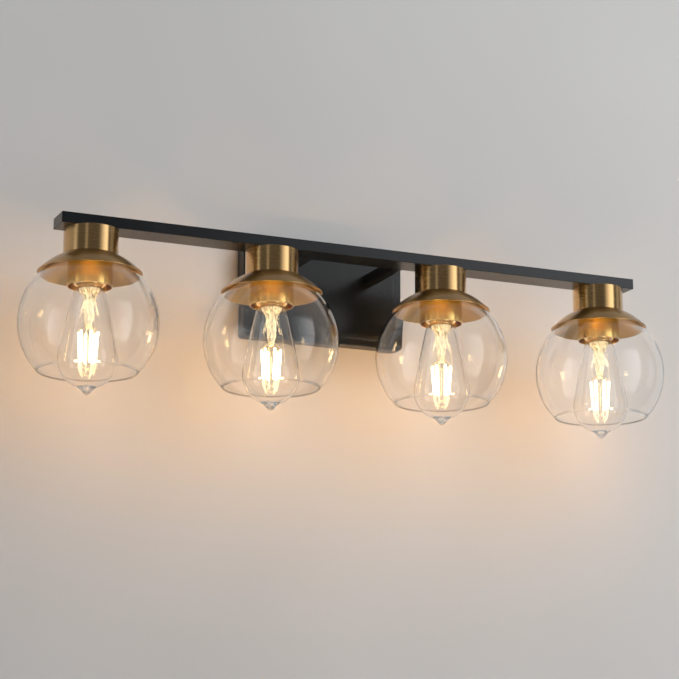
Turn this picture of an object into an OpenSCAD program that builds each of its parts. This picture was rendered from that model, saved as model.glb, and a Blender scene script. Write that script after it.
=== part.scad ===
// Vanity light bar: four clear glass globes under a black bar, on a stepped wall plate.
// The origin is the centre of the back of the wall plate. +X runs along the bar, +Z is up and
// -Y points away from the wall. Heights named *_drop are measured down from the bar's underside.

/* [Bar] */
// Length of the bar
bar_length = 700; // [680:1:900]
// Depth of the bar, from front to back
bar_depth = 34; // [30:1:50]
// Height of the bar
bar_height = 12; // [12:1:20]
// Thickness of the folded steel of the bar
bar_wall = 1.5; // [1:0.1:2]
// Height of the underside of the bar above the origin
bar_underside = 16; // [0:1:30]
// Distance from the wall to the line of the light axes
axis_distance = 122; // [110:1:150]

/* [Lights] */
// Number of lights
light_count = 4; // [4:1:4]
// Distance from one light to the next
light_spacing = 208; // [180:1:215]
// Outer diameter of the brass cup
cup_d = 59; // [56:0.5:62]
// Height of the brass cup
cup_height = 28.5; // [28:0.5:30]
// Outer diameter of the brass dish at its rim
dish_d = 111.6; // [100:0.2:116]
// Depth of the dish from the bottom of the cup to its rim
dish_depth = 19.6; // [18:0.1:20]
// Outer diameter of the shade sleeve
sleeve_d = 48.8; // [48:0.2:50]
// Drop of the sleeve's lower edge
sleeve_drop = 62.2; // [60:0.1:64]
// Thickness of the spun brass
brass_wall = 1.2; // [0.8:0.1:1.4]

/* [Glass] */
// Outer diameter of the glass globe
globe_d = 150; // [149:0.5:151]
// Diameter of the opening at the bottom of the globe
mouth_d = 105; // [80:1:120]
// Thickness of the glass
glass_wall = 2.2; // [1.8:0.1:2.4]
// Drop of the globe's centre
globe_drop = 102.2; // [102:0.1:103]

/* [Bulb] */
// Largest diameter of the bulb
bulb_d = 64; // [60:1:66]
// Drop of the level where the bulb is widest
bulb_wide_drop = 141; // [138:0.5:142]
// Drop of the tip of the bulb
bulb_tip_drop = 180; // [178:0.5:182]
// Diameter of the bulb's neck below the cap
bulb_neck_d = 35.6; // [34:0.2:37]
// Number of LED filaments in each bulb
filament_count = 6; // [4:1:8]

/* [Wall plate] */
// Width of the wall plate
plate_w = 200; // [180:1:240]
// Height of the wall plate
plate_h = 114; // [110:1:130]
// Distance from the wall to the front of the plate's border
plate_depth = 24; // [22:1:30]
// Height of the raised panel above the border
panel_raise = 2.5; // [2:0.1:4]
// Width of the border around the raised panel
border_w = 8.5; // [6:0.5:12]
// Outer corner radius of the plate
plate_corner = 6; // [3:0.5:10]
// Distance between the two box screws
box_screw_pitch = 88.9; // [80:0.1:90]

/* [Arms] */
// Width and height of the square arms
arm_w = 12; // [12:0.5:14]
// Distance between the centres of the two arms
arm_pitch = 112; // [100:1:140]

/* [Hidden] */

$fn = 96;
eps = 0.01;            // overlap that keeps a cut clean
fit_gap = 0.1;         // clearance of a fixed fit
seat_gap = 0.05;       // keeps two curved faces that rest on each other apart
run_gap = 0.3;         // clearance between pieces that move past each other
fine = 192;            // facets of the large round outlines

black = [0.10, 0.10, 0.11];
brass = [0.72, 0.56, 0.32];
steel = [0.75, 0.76, 0.78];
porcelain = [0.92, 0.91, 0.88];
clear = [0.85, 0.92, 0.95, 0.35];
wire_black = [0.08, 0.08, 0.08];

// Bar
bar_forward = 2.5;     // the bar's middle line lies this far in front of the light axes
bar_front = -axis_distance - bar_depth / 2 - bar_forward;
bar_back = bar_front + bar_depth;
bar_middle = bar_front + bar_depth / 2;
bar_top = bar_underside + bar_height;
post_d = 7;
cover_screw_d = 3;
cover_screw_head_d = 5.6;
cover_screw_hex = 1.8;
cover_screw_hex_depth = 0.9;
cover_screw_gap = 1;   // from the end of a cover screw to the bottom of its hole
wire_hole_d = 8;

// Nipple and nuts that hold each light to the bar
nipple_d = 10;
nipple_bore = 7;
nipple_above = 7;      // how far the nipple stands above the bar's underside
nipple_drop = 31;
nut_flats = 14;
nut_height = 3;
cup_top = 2;           // thickness of the cup's top

// Spun dish: part of a spherical shell through the cup's inner lower edge and the dish's rim
cup_r = cup_d / 2;
cup_seat_r = cup_r - brass_wall;
cup_seat_drop = cup_height + seat_gap;
dish_r = dish_d / 2;
dish_rim_drop = cup_height + dish_depth;
dish_center_drop = (dish_rim_drop * dish_rim_drop + dish_r * dish_r
                    - cup_seat_drop * cup_seat_drop - cup_seat_r * cup_seat_r)
                   / (2 * (dish_rim_drop - cup_seat_drop));
dish_sphere_r = norm([cup_seat_r, dish_center_drop - cup_seat_drop]);
dish_hole_r = 16.2;

// Lamp holder
holder_top_drop = 20;
holder_neck_r = 16;
holder_thread_r = 20;
holder_shoulder_drop = 27;
holder_thread_end = 43;
holder_nose_r = 17.5;
holder_bottom_drop = 60;
holder_ceiling_drop = 36;
shell_bore_r = 14;
shell_wall = 0.4;
shell_top_drop = 40;
shell_bottom_drop = 57;
tongue_w = 7;
tongue_l = 12;
tongue_root = 8;       // from the light's axis to the tongue's upright end
tongue_t = 0.6;

// Sleeve and shade
sleeve_r = sleeve_d / 2;
sleeve_ring_height = 6;
shade_hole_r = 21;
globe_r = globe_d / 2;
sleeve_top_drop = globe_drop - sqrt(pow(globe_r - glass_wall, 2) - sleeve_r * sleeve_r) + run_gap;
washer_outer_r = 25.5;
washer_inner_r = 21.5;
mouth_drop = globe_drop + sqrt(globe_r * globe_r - mouth_d * mouth_d / 4);

// Bulb
contact_drop = 38;
contact_r = 3.6;
contact_height = 1.5;
insulator_height = 3.5;
insulator_r = 9;
insulator_top_r = 4.4;
cap_r = 13.1;
cap_wall = 0.4;
cap_top_wall = 1;
cap_top_drop = contact_drop + contact_height + insulator_height;
cap_bottom_drop = 65;
bulb_wall = 0.9;
bulb_r = bulb_d / 2;
neck_r = bulb_neck_d / 2;
neck_drop = 69.5;
collar_r = cap_r - cap_wall - fit_gap;
collar_height = 14;    // how far the glass reaches up inside the cap
collar_top_drop = cap_bottom_drop - collar_height;
collar_end_drop = cap_bottom_drop + 0.5;
pip_base_r = 9.3;      // where the drawn tip leaves the round end
pip_r = 3.2;
stem_r = 5.5;
stem_tip_r = 3.8;
stem_tip_height = 8;
stem_flare_r = collar_r - bulb_wall - fit_gap;
stem_flare_drop = 76;
stem_drop = 108;
filament_r = 1;
filament_top_drop = 112;
filament_bottom_drop = 144;
filament_top_circle = 10.5;
filament_bottom_circle = 8.5;
lead_r = 0.4;
lead_root_drop = 105;  // where the upper leads meet in the stem
lead_overlap = 1;      // how far a lead reaches into what it holds

// Wall plate
plate_wall = 1.5;
sheet_cut = 3 * plate_wall;    // length of a cut that passes right through one sheet
pan_back = 10;         // the front pan ends this far from the wall
panel_corner = plate_corner - plate_wall;
tray_depth = 16;
tray_hole_d = 60;
box_screw_hole_d = 4.8;
plate_screw_x = 70;
plate_screw_d = 4;
plate_screw_y = -13;
plate_screw_length = 4.5;
plate_screw_head_d = 7;
plate_screw_head_h = 2.2;
screw_slot_w = 1;
ground_screw_z = -38;
ground_screw_head_d = 8;
ground_screw_head_h = 2.4;
arm_plug = 8;          // length of the solid, tapped end of each arm
arm_nipple_d = 8;
arm_nipple_bore = 5.8;
arm_nipple_inside = 9; // how far the nipple reaches into the pan from the panel's back face
arm_nut_flats = 13;
arm_nut_height = 4;
arm_z = bar_underside + bar_height / 2;
panel_front = -plate_depth - panel_raise;

// Wiring
wire_r = 1;
wire_bend_r = 1.2;
wire_lane = 10;        // distance of each supply wire in front of or behind the bar's middle line
wire_up = 6;           // height of the supply wires above the bar's underside
wire_over = 1.5;       // how far a wire passes above the top of a nipple
wire_pair = 1.35;      // half the distance between two wires that run side by side
wire_turn_z = -4;      // height at which the supply wires turn from the wire nuts to the arm
wire_nut_x = 30;
wire_nut_y = -12;
wire_nut_z = 2;
wire_nut_pitch = 16;
wire_nut_height = 16;
wire_nut_mouth_r = 6;
wire_nut_tip_r = 4;
wire_nut_bore_r = 3.4;
wire_nut_bore_depth = 12;
wire_nut_grip = 2;     // from the end of a wire to the end of the bore it is held in

// Distance along X of one light's axis, counted from 1 at the left
function light_x(i) = (i - (light_count + 1) / 2) * light_spacing;

// Puts its children on the axis of one light, with Z zero at the bar's underside
module at_light(i) {
    translate([light_x(i), -axis_distance, bar_underside]) children();
}

module at_each_light() {
    for (i = [1:light_count]) at_light(i) children();
}

module at_each_arm() {
    for (side = [-1, 1]) translate([side * arm_pitch / 2, 0, arm_z]) children();
}

// Cylinder that runs down from one drop to another
module drop_cylinder(r, from, to) {
    translate([0, 0, -to]) cylinder(r = r, h = to - from);
}

module drop_tube(r_outer, r_inner, from, to) {
    difference() {
        drop_cylinder(r_outer, from, to);
        drop_cylinder(r_inner, from - eps, to + eps);
    }
}

module hex_nut(flats, height, bore_d) {
    difference() {
        cylinder(d = flats / cos(30), h = height, $fn = 6);
        translate([0, 0, -eps]) cylinder(d = bore_d, h = height + 2 * eps);
    }
}

// Upright plate with round corners, centred on the origin, from one distance in front to another
module rounded_plate(w, h, corner, y_front, y_back) {
    translate([0, y_back, 0]) rotate([90, 0, 0]) linear_extrude(y_back - y_front) union() {
        square([w - 2 * corner, h], center = true);
        square([w, h - 2 * corner], center = true);
        for (x = [-1, 1], z = [-1, 1])
            translate([x * (w / 2 - corner), z * (h / 2 - corner)]) circle(r = corner, $fn = 48);
    }
}

module bar() {
    color(black) difference() {
        union() {
            difference() {
                translate([-bar_length / 2, bar_front, bar_underside])
                    cube([bar_length, bar_depth, bar_height]);
                translate([-bar_length / 2 + bar_wall, bar_front + bar_wall, bar_underside + bar_wall])
                    cube([bar_length - 2 * bar_wall, bar_depth - 2 * bar_wall, bar_height]);
            }
            at_cover_screws() translate([0, 0, bar_underside + bar_wall - eps])
                cylinder(d = post_d, h = bar_height - 2 * bar_wall + eps);
        }
        at_cover_screws() translate([0, 0, bar_underside + bar_wall])
            cylinder(d = cover_screw_d + 2 * fit_gap, h = bar_height);
        at_each_light() translate([0, 0, -eps])
            cylinder(d = nipple_d + 2 * fit_gap, h = bar_wall + 2 * eps);
        at_each_arm() translate([0, bar_back + eps, 0]) rotate([90, 0, 0])
            cylinder(d = wire_hole_d, h = bar_wall + 2 * eps);
    }
}

module at_cover_screws() {
    for (k = [-1:1]) translate([k * light_spacing, bar_middle, 0]) children();
}

module bar_cover() {
    inset = bar_wall + fit_gap;
    color(black) difference() {
        translate([-bar_length / 2 + inset, bar_front + inset, bar_top - bar_wall])
            cube([bar_length - 2 * inset, bar_depth - 2 * inset, bar_wall]);
        at_cover_screws() translate([0, 0, bar_top - bar_wall - eps])
            cylinder(d1 = cover_screw_d + 4 * fit_gap, d2 = cover_screw_head_d + 4 * fit_gap,
                     h = bar_wall + 2 * eps);
    }
}

module cover_screws() {
    color(steel) at_cover_screws() difference() {
        union() {
            translate([0, 0, bar_underside + bar_wall + cover_screw_gap])
                cylinder(d = cover_screw_d, h = bar_height - 2 * bar_wall - cover_screw_gap + eps);
            translate([0, 0, bar_top - bar_wall])
                cylinder(d1 = cover_screw_d, d2 = cover_screw_head_d, h = bar_wall);
        }
        translate([0, 0, bar_top - cover_screw_hex_depth])
            cylinder(d = cover_screw_hex, h = cover_screw_hex_depth + eps, $fn = 6);
    }
}

module arm(side) {
    length = panel_front - bar_back;
    inside_w = arm_w - 2 * plate_wall;
    color(black) translate([side * arm_pitch / 2, 0, arm_z]) difference() {
        translate([-arm_w / 2, bar_back, -arm_w / 2]) cube([arm_w, length, arm_w]);
        translate([-inside_w / 2, bar_back - eps, -inside_w / 2])
            cube([inside_w, length - arm_plug + eps, inside_w]);
        translate([0, panel_front + eps, 0]) rotate([90, 0, 0])
            cylinder(d = arm_nipple_d + 2 * fit_gap, h = arm_plug + 2 * eps);
    }
}

module arm_nipples() {
    length = arm_nipple_inside + plate_wall + arm_plug;
    color(steel) at_each_arm()
        translate([0, panel_front + plate_wall + arm_nipple_inside, 0]) rotate([90, 0, 0]) difference() {
            cylinder(d = arm_nipple_d, h = length);
            translate([0, 0, -eps]) cylinder(d = arm_nipple_bore, h = length + 2 * eps);
        }
}

module arm_nuts() {
    color(steel) at_each_arm()
        translate([0, panel_front + plate_wall + arm_nut_height, 0]) rotate([90, 0, 0])
            hex_nut(arm_nut_flats, arm_nut_height, arm_nipple_d + 2 * fit_gap);
}

module wall_plate() {
    inner_w = plate_w - 2 * plate_wall;
    inner_h = plate_h - 2 * plate_wall;
    panel_w = plate_w - 2 * border_w;
    panel_h = plate_h - 2 * border_w;
    color(black) difference() {
        union() {
            rounded_plate(plate_w, plate_h, plate_corner, -plate_depth, -pan_back);
            rounded_plate(panel_w, panel_h, panel_corner, panel_front, -plate_depth + eps);
        }
        rounded_plate(inner_w, inner_h, plate_corner - plate_wall, -plate_depth + plate_wall, eps);
        rounded_plate(panel_w - 2 * plate_wall, panel_h - 2 * plate_wall, panel_corner - plate_wall,
                      panel_front + plate_wall, -plate_depth + plate_wall + eps);
        at_each_arm() translate([0, -plate_depth, 0]) rotate([90, 0, 0])
            cylinder(d = arm_nipple_d + 2 * fit_gap, h = 2 * (panel_raise + plate_wall), center = true);
        at_plate_screws() translate([0, 0, -plate_wall - eps])
            cylinder(d = plate_screw_d + 2 * fit_gap, h = plate_wall + 2 * eps);
    }
}

// Top edge of the pan, where the two screws go down into the mounting plate
module at_plate_screws() {
    for (side = [-1, 1]) translate([side * plate_screw_x, plate_screw_y, plate_h / 2]) children();
}

module mounting_plate() {
    outer_w = plate_w - 2 * plate_wall - 2 * fit_gap;
    outer_h = plate_h - 2 * plate_wall - 2 * fit_gap;
    corner = plate_corner - plate_wall;
    color(steel) difference() {
        rounded_plate(outer_w, outer_h, corner, -tray_depth, 0);
        rounded_plate(outer_w - 2 * plate_wall, outer_h - 2 * plate_wall, corner - plate_wall,
                      -tray_depth - eps, -plate_wall);
        rotate([90, 0, 0]) cylinder(d = tray_hole_d, h = sheet_cut, center = true);
        for (side = [-1, 1]) translate([side * box_screw_pitch / 2, 0, 0]) rotate([90, 0, 0])
            cylinder(d = box_screw_hole_d, h = sheet_cut, center = true);
        translate([0, 0, ground_screw_z]) rotate([90, 0, 0])
            cylinder(d = plate_screw_d + 2 * fit_gap, h = sheet_cut, center = true);
        at_plate_screws() translate([0, 0, -sheet_cut])
            cylinder(d = plate_screw_d + 2 * fit_gap, h = sheet_cut);
    }
}

// Screw head with a straight slot, which stands up from Z zero
module slotted_head(d, h) {
    difference() {
        cylinder(d = d, h = h);
        translate([0, 0, h]) cube([d + 2 * eps, screw_slot_w, h], center = true);
    }
}

module plate_screws() {
    color(black) at_plate_screws() {
        translate([0, 0, -plate_screw_length])
            cylinder(d = plate_screw_d, h = plate_screw_length + eps);
        slotted_head(plate_screw_head_d, plate_screw_head_h);
    }
}

module ground_screw() {
    color([0.1, 0.5, 0.2]) translate([0, -plate_wall, ground_screw_z]) rotate([90, 0, 0]) {
        slotted_head(ground_screw_head_d, ground_screw_head_h);
        translate([0, 0, -plate_wall]) cylinder(d = plate_screw_d, h = plate_wall + eps);
    }
}

module wire_nuts() {
    color([0.85, 0.45, 0.1]) for (side = [-1, 1])
        translate([wire_nut_x + side * wire_nut_pitch / 2, wire_nut_y, wire_nut_z]) difference() {
            cylinder(r1 = wire_nut_mouth_r, r2 = wire_nut_tip_r, h = wire_nut_height);
            translate([0, 0, -eps]) cylinder(r = wire_nut_bore_r, h = wire_nut_bore_depth);
        }
}

// Straight stretch of wire with a ball at each end, where it bends
module wire(from, to) {
    run = to - from;
    length = norm(run);
    translate(from) rotate([0, acos(run[2] / length), atan2(run[1], run[0])])
        cylinder(r = wire_r, h = length, $fn = 16);
    for (end = [from, to]) translate(end) sphere(r = wire_bend_r, $fn = 16);
}

module wire_path(points) {
    for (k = [1:len(points) - 1]) wire(points[k - 1], points[k]);
}

module wiring() {
    lane_z = bar_underside + wire_up;
    over_z = bar_underside + nipple_above + wire_over;
    color(wire_black) for (side = [-1, 1]) {
        lane = bar_middle + side * wire_lane;
        nut_x = wire_nut_x + side * wire_nut_pitch / 2;
        arm_x = arm_pitch / 2 + side * wire_pair;
        // from the wire nut, through the right arm, into the bar
        wire_path([[nut_x, wire_nut_y, wire_nut_z + wire_nut_bore_depth - wire_nut_grip],
                   [nut_x, wire_nut_y, wire_turn_z], [arm_x, wire_nut_y, wire_turn_z],
                   [arm_x, wire_nut_y, arm_z], [arm_x, lane, arm_z]]);
        // along the bar, past every light
        wire_path([[light_x(1), lane, lane_z], [light_x(light_count), lane, lane_z]]);
        // down through the nipple of each light into its lamp holder
        for (i = [1:light_count]) let (x = light_x(i) + side * wire_pair)
            wire_path([[x, lane, lane_z], [x, lane, over_z], [x, -axis_distance, over_z],
                       [x, -axis_distance, bar_underside - nipple_drop + wire_r]]);
    }
}

module nipples() {
    color(steel) at_each_light() difference() {
        drop_cylinder(nipple_d / 2, -nipple_above, nipple_drop);
        drop_cylinder(nipple_bore / 2, -nipple_above - eps, nipple_drop + eps);
    }
}

module nipple_nuts() {
    color(steel) at_each_light() for (z = [bar_wall, -cup_top - nut_height])
        translate([0, 0, z]) hex_nut(nut_flats, nut_height, nipple_d + 2 * fit_gap);
}

module cup(i) {
    color(brass) at_light(i) difference() {
        drop_cylinder(cup_r, 0, cup_height);
        drop_cylinder(cup_r - brass_wall, cup_top, cup_height + eps);
        drop_cylinder(nipple_d / 2 + fit_gap, -eps, cup_top + eps);
    }
}

// Ring between two circles about a centre on the axis, which turns into a spherical shell
module shell_outline(r, wall, center_drop) {
    translate([0, -center_drop]) difference() {
        circle(r = r, $fn = fine);
        circle(r = r - wall, $fn = fine);
    }
}

module dish(i) {
    color(brass) at_light(i) rotate_extrude() intersection() {
        shell_outline(dish_sphere_r, brass_wall, dish_center_drop);
        translate([dish_hole_r, -dish_rim_drop]) square([dish_sphere_r, dish_sphere_r]);
    }
}

module lamp_holder(i) {
    color(porcelain) at_light(i) difference() {
        union() {
            drop_cylinder(holder_neck_r, holder_top_drop, holder_shoulder_drop + eps);
            drop_cylinder(holder_thread_r, holder_shoulder_drop, holder_thread_end);
            drop_cylinder(holder_nose_r, holder_thread_end - eps, holder_bottom_drop);
        }
        drop_cylinder(nipple_d / 2 + fit_gap, holder_top_drop - eps, nipple_drop);
        drop_cylinder(nipple_bore / 2, nipple_drop - eps, holder_ceiling_drop + eps);
        drop_cylinder(shell_bore_r, holder_ceiling_drop, holder_bottom_drop + eps);
    }
}

module screw_shells() {
    color(steel) at_each_light()
        drop_tube(shell_bore_r, shell_bore_r - shell_wall, shell_top_drop, shell_bottom_drop);
}

// Tongue just above the bulb's centre contact, held to the holder's ceiling at one end
module centre_contacts() {
    color(brass) at_each_light() translate([-tongue_root, -tongue_w / 2, -contact_drop + run_gap]) {
        cube([tongue_l, tongue_w, tongue_t]);
        cube([tongue_t, tongue_w, contact_drop - holder_ceiling_drop - run_gap]);
    }
}

// Ring of silicone between the dish and the top of the globe
module shade_washers() {
    color([0.15, 0.15, 0.15]) at_each_light() rotate_extrude() difference() {
        translate([washer_inner_r, -globe_drop]) square([washer_outer_r - washer_inner_r, globe_drop]);
        translate([0, -globe_drop]) circle(r = globe_r + run_gap, $fn = fine);
        difference() {
            translate([0, -globe_drop]) square([globe_drop, globe_drop]);
            translate([0, -dish_center_drop]) circle(r = dish_sphere_r - brass_wall - fit_gap, $fn = fine);
        }
    }
}

module sleeve(i) {
    color(brass) at_light(i) {
        drop_tube(sleeve_r, sleeve_r - brass_wall, sleeve_top_drop, sleeve_drop);
        drop_tube(sleeve_r - brass_wall / 2, holder_thread_r + run_gap,
                  sleeve_top_drop, sleeve_top_drop + sleeve_ring_height);
    }
}

module shade(i) {
    color(clear) at_light(i) rotate_extrude() intersection() {
        shell_outline(globe_r, glass_wall, globe_drop);
        union() {
            translate([shade_hole_r, -globe_drop]) square([globe_r, globe_r]);
            translate([0, -mouth_drop]) square([globe_r, mouth_drop - globe_drop + eps]);
        }
    }
}

module bulb_contact(i) {
    color(brass) at_light(i) drop_cylinder(contact_r, contact_drop, contact_drop + contact_height);
}

module bulb_insulator(i) {
    color(wire_black) at_light(i) translate([0, 0, -cap_top_drop])
        cylinder(r1 = insulator_r, r2 = insulator_top_r, h = insulator_height);
}

module bulb_cap(i) {
    color(steel) at_light(i) difference() {
        drop_cylinder(cap_r, cap_top_drop, cap_bottom_drop);
        drop_cylinder(cap_r - cap_wall, cap_top_drop + cap_top_wall, cap_bottom_drop + eps);
    }
}

// Points on an arc around a centre on the axis, from one angle to another
function arc(center_drop, r, from, to, steps) =
    [for (k = [0:steps]) let (a = from + (to - from) * k / steps) [r * cos(a), -center_drop + r * sin(a)]];

function reversed(points) = [for (k = [len(points) - 1:-1:0]) points[k]];

// Angle on a circle about a centre on the axis at which a line from a point above touches it
function touch_angle(from, center_drop, r) =
    let (rise = from[1] + center_drop) atan2(rise, from[0]) - acos(r / norm([from[0], rise]));

// Side of the bulb from its collar to its round end: a neck, then a cone that touches the
// sphere. shrink moves it inwards, for the inner face of the glass, and the arc stops at end_angle.
function bulb_side(shrink, end_angle) =
    let (r = bulb_r - shrink, neck = [neck_r - shrink, -neck_drop])
    concat([[collar_r - shrink, -collar_top_drop], [collar_r - shrink, -collar_end_drop], neck],
           arc(bulb_wide_drop, r, touch_angle(neck, bulb_wide_drop, r), end_angle, 24));

// Drawn tip of the bulb: a cone from the round end that touches a small ball
function bulb_pip() =
    let (center_drop = bulb_tip_drop - pip_r,
         from = [pip_base_r, -bulb_wide_drop - sqrt(bulb_r * bulb_r - pip_base_r * pip_base_r)])
    arc(center_drop, pip_r, touch_angle(from, center_drop, pip_r), -90, 6);

module bulb_glass(i) {
    color(clear) at_light(i) rotate_extrude() polygon(concat(
        bulb_side(0, -acos(pip_base_r / bulb_r)), bulb_pip(), reversed(bulb_side(bulb_wall, -90))));
}

// Thin round rod between two points in the plane of one filament
module rod(r, from, to) {
    run = to - from;
    translate([from[0], 0, from[1]]) rotate([0, atan2(run[0], run[1]), 0])
        cylinder(r = r, h = norm(run), $fn = 16);
}

module bulb_filaments(i) {
    top = [filament_top_circle, -filament_top_drop];
    bottom = [filament_bottom_circle, -filament_bottom_drop];
    at_light(i) {
        color(clear) {
            drop_cylinder(stem_flare_r, collar_top_drop, cap_bottom_drop);
            translate([0, 0, -stem_flare_drop])
                cylinder(r1 = stem_r, r2 = stem_flare_r, h = stem_flare_drop - cap_bottom_drop + eps);
            drop_cylinder(stem_r, stem_flare_drop - eps, stem_drop - stem_tip_height);
            drop_cylinder(stem_tip_r, stem_drop - stem_tip_height - eps, stem_drop);
        }
        color([1, 0.8, 0.4]) {
            drop_cylinder(lead_r, stem_drop - lead_overlap, filament_bottom_drop + lead_overlap);
            for (k = [0:filament_count - 1]) rotate(k * 360 / filament_count) {
                rod(filament_r, top, bottom);
                rod(lead_r, [0, -lead_root_drop], top - [0, lead_overlap]);
                rod(lead_r, [0, -filament_bottom_drop], bottom + [0, lead_overlap]);
            }
        }
    }
}

bar();
bar_cover();
cover_screws();
arm(-1);  // arm_left
arm(1);  // arm_right
arm_nipples();
arm_nuts();
wall_plate();
mounting_plate();
plate_screws();
ground_screw();
wire_nuts();
wiring();
nipples();
nipple_nuts();
shade_washers();
screw_shells();
centre_contacts();
for (i = [1:light_count]) {
    cup(i);
    dish(i);
    lamp_holder(i);
    sleeve(i);
    shade(i);
    bulb_contact(i);
    bulb_insulator(i);
    bulb_cap(i);
    bulb_glass(i);
    bulb_filaments(i);
}
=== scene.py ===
"""Visual model of the vanity light bar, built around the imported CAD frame.

Lengths are in metres, X runs along the bar, Z is up, and the wall is at Y = 0 behind the plate.
Heights on one light, such as CUP_BOTTOM or TIP_Z, are measured from the bar's underside.
"""

import math

import bmesh
import bpy
from mathutils import Euler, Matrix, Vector


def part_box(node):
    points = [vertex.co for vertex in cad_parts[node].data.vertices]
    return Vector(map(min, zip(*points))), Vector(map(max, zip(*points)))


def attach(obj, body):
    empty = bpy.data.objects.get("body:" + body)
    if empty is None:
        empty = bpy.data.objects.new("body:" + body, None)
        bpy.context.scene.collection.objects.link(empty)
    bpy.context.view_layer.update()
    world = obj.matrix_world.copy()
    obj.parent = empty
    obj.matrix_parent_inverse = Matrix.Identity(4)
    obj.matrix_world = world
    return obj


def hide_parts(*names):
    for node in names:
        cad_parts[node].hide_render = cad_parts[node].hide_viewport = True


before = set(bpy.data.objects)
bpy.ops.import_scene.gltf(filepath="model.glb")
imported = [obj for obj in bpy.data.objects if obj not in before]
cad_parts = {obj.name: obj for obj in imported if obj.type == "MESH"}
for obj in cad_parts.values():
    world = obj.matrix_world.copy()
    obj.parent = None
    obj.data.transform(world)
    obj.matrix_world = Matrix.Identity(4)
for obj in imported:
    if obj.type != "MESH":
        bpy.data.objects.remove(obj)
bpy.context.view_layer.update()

MM = 0.001
TURN = 2 * math.pi
LIGHTS = range(1, 5)


# ---------------------------------------------------------------- places from the frame


def span(node):
    """Centre and size of a CAD node's box."""
    low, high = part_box(node)
    low, high = Vector(low), Vector(high)
    return (low + high) / 2, high - low


BAR_CENTRE, BAR_SIZE = span("bar")
UNDERSIDE = BAR_CENTRE.z - BAR_SIZE.z / 2
PLATE_CENTRE = span("wall_plate")[0]


def ends_of(node):
    """Heights of a node's top and bottom, measured from the bar's underside."""
    centre, size = span(node)
    return centre.z + size.z / 2 - UNDERSIDE, centre.z - size.z / 2 - UNDERSIDE


def radius_of(node):
    """Outer radius of a turned node."""
    return span(node)[1].x / 2


def light_origin(i):
    """Point on one light's axis at the bar's underside."""
    centre = span(f"cup_{i}")[0]
    return Vector((centre.x, centre.y, UNDERSIDE))


CUP_R = radius_of("cup_1")
CUP_BOTTOM = ends_of("cup_1")[1]
DISH_R = radius_of("dish_1")
DISH_RIM = ends_of("dish_1")[1]
SLEEVE_R = radius_of("sleeve_1")
SLEEVE_TOP, SLEEVE_BOTTOM = ends_of("sleeve_1")
SHADE_TOP, MOUTH_Z = ends_of("shade_1")
HOLDER_BOTTOM = ends_of("lamp_holder_1")[1]
CAP_R = radius_of("bulb_cap_1")
CAP_TOP, CAP_BOTTOM = ends_of("bulb_cap_1")
TIP_Z = ends_of("bulb_glass_1")[1]

# Measures that the boxes of the CAD nodes don't give.
BRASS_WALL = 1.2 * MM
NIPPLE_HOLE_R = 5.2 * MM
DISH_HOLE_R = 16.2 * MM
GLOBE_R = 75 * MM
GLOBE_WALL = 2.2 * MM
LIP_WALL = 1.2 * MM
GLOBE_HOLE_R = 21 * MM
GLOBE_Z = SHADE_TOP - math.sqrt(GLOBE_R**2 - GLOBE_HOLE_R**2)
BULB_R = 32 * MM
BULB_Z = -141 * MM
BULB_WALL = 0.7 * MM
NECK_R = 17.8 * MM
NECK_Z = -69.5 * MM
COLLAR_R = 12.6 * MM

# Filaments: how many, and the radius and height of the ring that each end lies on.
FILAMENTS = 6
FILAMENT_TOP = (10.5 * MM, -112 * MM)
FILAMENT_BOTTOM = (8.5 * MM, -144 * MM)


# ---------------------------------------------------------------- node helpers


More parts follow.
